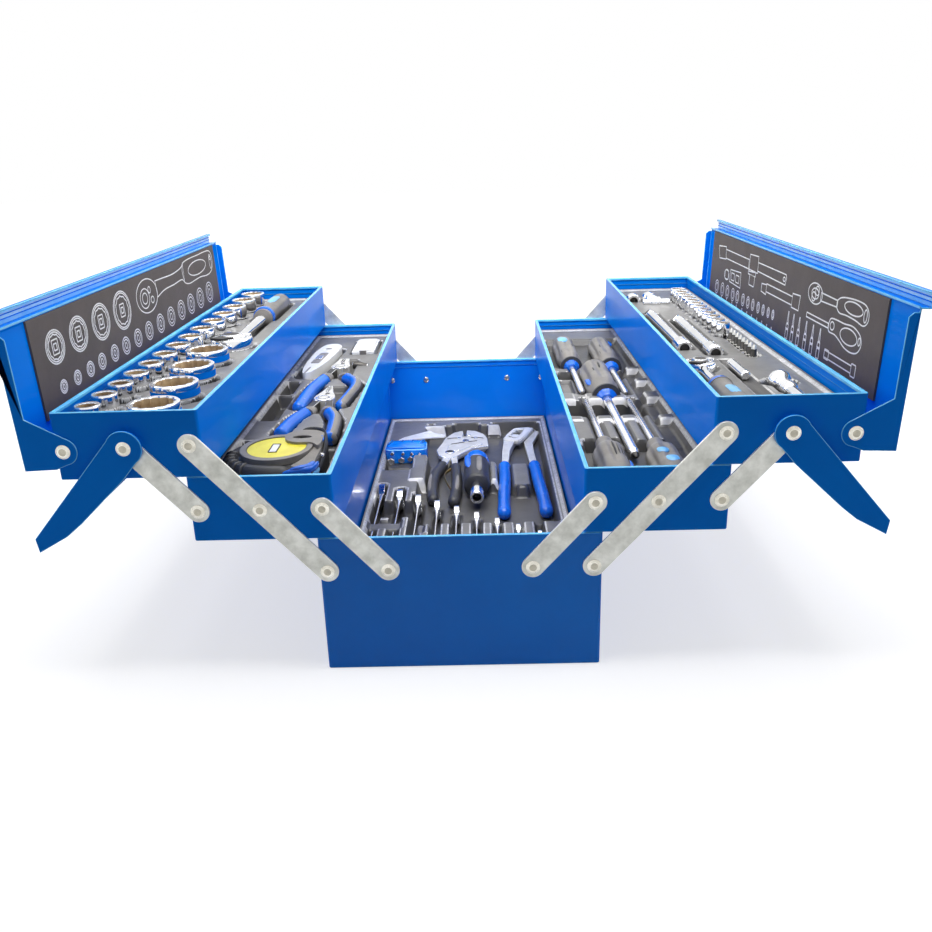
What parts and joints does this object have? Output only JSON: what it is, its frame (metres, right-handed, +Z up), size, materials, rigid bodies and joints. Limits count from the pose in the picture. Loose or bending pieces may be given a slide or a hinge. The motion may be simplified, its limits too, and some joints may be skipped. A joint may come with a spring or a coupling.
{
  "type": "cantilever tool box",
  "caption": "Painted steel cantilever tool box: deep base tray, tiers of folding upper trays on riveted links, hinged lids, swinging handles and a fitted tool kit.",
  "frame": {"origin": "centre of the base tray's underside, on the surface it stands on", "axes": "+X across the box to the right-hand trays, +Y along the box to the back end wall, +Z up"},
  "size_m": [0.6124, 0.5444, 0.2664],
  "materials": {
    "blue_paint": "gloss enamel",
    "zinc": "zinc plated, mottled",
    "insert_black": "vacuum formed, satin",
    "card_grey": "foam card, matt",
    "chrome": "polished",
    "forged_steel": "satin",
    "grip_black": "soft grip",
    "grip_blue": "dipped vinyl",
    "hex_blue": "gloss",
    "white_plastic": "gloss",
    "tape_yellow": "two-tone case"
  },
  "bodies": {
    "base": {"base_tray": "blue_paint", "base_insert": "insert_black", "base_rivets": "zinc", "combination_wrenches": "chrome", "pump_pliers": "forged_steel", "pump_plier_grips": "grip_blue", "crimping_pliers": "forged_steel", "crimping_plier_grips": "grip_black", "stub_driver_grip": "grip_black", "stub_driver_socket": "chrome", "hex_key_holder": "hex_blue", "hex_keys": "forged_steel", "saw_blade": "forged_steel"},
    "left_long_links": {"left_long_links": "zinc"},
    "left_short_links": {"left_short_links": "zinc"},
    "left_upper_links": {"left_upper_links": "zinc"},
    "left_mid": {"left_mid_tray": "blue_paint", "left_mid_rivets": "zinc", "left_mid_insert": "insert_black", "tape_measure_case": "tape_yellow", "tape_measure_hook": "chrome", "plier_steel": "forged_steel", "plier_grips": "grip_blue", "utility_knife": "forged_steel", "blade_case": "white_plastic"},
    "left_top": {"left_top_tray": "blue_paint", "left_top_rivets": "zinc", "left_top_insert": "insert_black", "small_sockets": "chrome", "large_sockets": "chrome", "large_ratchet": "chrome", "large_ratchet_grip": "grip_black"},
    "left_lid": {"left_lid": "blue_paint", "left_lid_card": "card_grey"},
    "left_handle": {"left_handle": "blue_paint"},
    "right_long_links": {"right_long_links": "zinc"},
    "right_short_links": {"right_short_links": "zinc"},
    "right_upper_links": {"right_upper_links": "zinc"},
    "right_mid": {"right_mid_tray": "blue_paint", "right_mid_rivets": "zinc", "right_mid_insert": "insert_black", "screwdriver_blades": "chrome", "screwdriver_handles": "grip_black", "screwdriver_collars": "grip_blue"},
    "right_top": {"right_top_tray": "blue_paint", "right_top_rivets": "zinc", "right_top_insert": "insert_black", "drive_sockets": "chrome", "driver_bits": "forged_steel", "extension_bars": "chrome", "small_ratchet": "chrome", "small_ratchet_grip": "grip_black", "bit_spinner": "chrome", "sliding_bar": "chrome", "universal_joint": "chrome"},
    "right_lid": {"right_lid": "blue_paint", "right_lid_card": "card_grey"},
    "right_handle": {"right_handle": "blue_paint"}
  },
  "joints": [
    {"name": "left_fold", "type": "hinge", "parent": "base", "child": "left_long_links", "pos_m": [-0.094, 0, 0.0805], "axis": [0, 1, 0], "range_deg": [0, 83.7]},
    {"name": "left_short_link_turn", "type": "hinge", "parent": "base", "child": "left_short_links", "pos_m": [-0.051, 0, 0.0805], "axis": [0, 1, 0], "range_deg": [0, 83.7]},
    {"name": "left_mid_tray_level", "type": "hinge", "parent": "left_long_links", "child": "left_mid", "pos_m": [-0.137, 0, 0.1285], "axis": [0, 1, 0], "range_deg": [-83.7, 0]},
    {"name": "left_top_tray_level", "type": "hinge", "parent": "left_long_links", "child": "left_top", "pos_m": [-0.18, 0, 0.1765], "axis": [0, 1, 0], "range_deg": [-83.7, 0]},
    {"name": "left_upper_link_turn", "type": "hinge", "parent": "left_mid", "child": "left_upper_links", "pos_m": [-0.18, 0, 0.1285], "axis": [0, 1, 0], "range_deg": [0, 83.7]},
    {"name": "left_lid_swing", "type": "hinge", "parent": "left_top", "child": "left_lid", "pos_m": [-0.266, 0, 0.1739], "axis": [0, 1, 0], "range_deg": [0, 92]},
    {"name": "left_handle_swing", "type": "hinge", "parent": "left_top", "child": "left_handle", "pos_m": [-0.223, 0, 0.1765], "axis": [0, 1, 0], "range_deg": [0, 163.5]},
    {"name": "right_fold", "type": "hinge", "parent": "base", "child": "right_long_links", "pos_m": [0.094, 0, 0.0805], "axis": [0, -1, 0], "range_deg": [0, 83.7]},
    {"name": "right_short_link_turn", "type": "hinge", "parent": "base", "child": "right_short_links", "pos_m": [0.051, 0, 0.0805], "axis": [0, -1, 0], "range_deg": [0, 83.7]},
    {"name": "right_mid_tray_level", "type": "hinge", "parent": "right_long_links", "child": "right_mid", "pos_m": [0.137, 0, 0.1285], "axis": [0, -1, 0], "range_deg": [-83.7, 0]},
    {"name": "right_top_tray_level", "type": "hinge", "parent": "right_long_links", "child": "right_top", "pos_m": [0.18, 0, 0.1765], "axis": [0, -1, 0], "range_deg": [-83.7, 0]},
    {"name": "right_upper_link_turn", "type": "hinge", "parent": "right_mid", "child": "right_upper_links", "pos_m": [0.18, 0, 0.1285], "axis": [0, -1, 0], "range_deg": [0, 83.7]},
    {"name": "right_lid_swing", "type": "hinge", "parent": "right_top", "child": "right_lid", "pos_m": [0.266, 0, 0.1739], "axis": [0, -1, 0], "range_deg": [0, 92]},
    {"name": "right_handle_swing", "type": "hinge", "parent": "right_top", "child": "right_handle", "pos_m": [0.223, 0, 0.1765], "axis": [0, -1, 0], "range_deg": [0, 163.5]}
  ],
  "couplings": [
    {"joint": "left_short_link_turn", "follows": "left_fold", "ratio": 1},
    {"joint": "left_mid_tray_level", "follows": "left_fold", "ratio": -1},
    {"joint": "left_top_tray_level", "follows": "left_fold", "ratio": -1},
    {"joint": "left_upper_link_turn", "follows": "left_fold", "ratio": 1},
    {"joint": "left_handle_swing", "follows": "left_lid_swing", "ratio": 1.7772},
    {"joint": "right_short_link_turn", "follows": "right_fold", "ratio": 1},
    {"joint": "right_mid_tray_level", "follows": "right_fold", "ratio": -1},
    {"joint": "right_top_tray_level", "follows": "right_fold", "ratio": -1},
    {"joint": "right_upper_link_turn", "follows": "right_fold", "ratio": 1},
    {"joint": "right_handle_swing", "follows": "right_lid_swing", "ratio": 1.7772}
  ]
}
